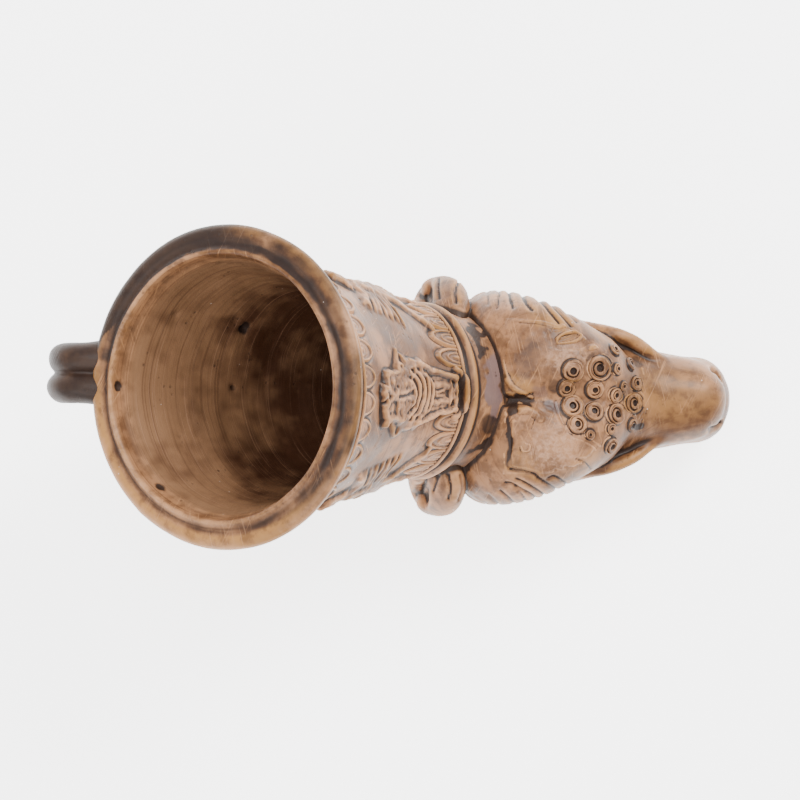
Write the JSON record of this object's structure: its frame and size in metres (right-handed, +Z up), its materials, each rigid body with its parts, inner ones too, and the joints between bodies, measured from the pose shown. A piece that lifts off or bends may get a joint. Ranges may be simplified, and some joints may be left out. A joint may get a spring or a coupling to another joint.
{
  "type": "ram's head rhyton",
  "caption": "Brown glazed clay drinking cup that narrows into a ram's head, with a strap handle, egg bands and relief figures.",
  "frame": {"origin": "on the flat underside of the jaw, below the cheeks, which is the standing face", "axes": "+X towards the muzzle, +Z up, +Y to the animal's left; the cup leans back over -X"},
  "size_m": [0.2309, 0.1004, 0.1438],
  "materials": {
    "glazed_clay": "satin brown glaze, worn to tan on the ridges and near black in the recesses"
  },
  "bodies": {
    "root": {"rhyton": "glazed_clay"}
  },
  "joints": []
}
